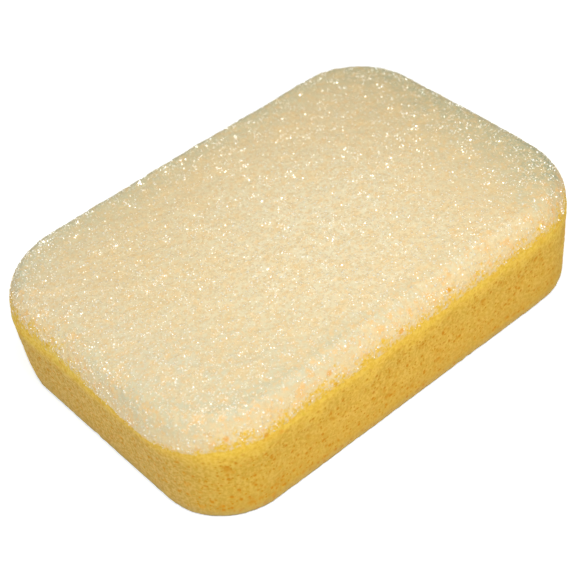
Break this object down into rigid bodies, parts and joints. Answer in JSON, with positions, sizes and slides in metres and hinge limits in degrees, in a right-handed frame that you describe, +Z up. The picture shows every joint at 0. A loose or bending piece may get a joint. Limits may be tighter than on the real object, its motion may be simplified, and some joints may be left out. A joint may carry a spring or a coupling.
{
  "type": "grout sponge",
  "caption": "Rounded yellow foam sponge for washing grout off tiles, with a pale glittering scrub face bonded over its top and its rounded rim.",
  "frame": {"origin": "centre of the flat underside of the foam", "axes": "+X along the long side, +Y along the short side, +Z up through the thickness to the scrub face"},
  "size_m": [0.1906, 0.1334, 0.0444],
  "materials": {
    "foam": "matte",
    "adhesive": "satin",
    "scrub_web": "satin"
  },
  "bodies": {
    "foam": {"foam_body": "foam"},
    "face": {"bond_film": "adhesive", "scrub_pad": "scrub_web"}
  },
  "joints": [
    {"name": "squeeze", "type": "slide", "parent": "foam", "child": "face", "axis": [0, 0, -1], "range_m": [0, 0.022], "stiffness_N_per_m": 4000, "deforming": ["foam_body"]}
  ]
}
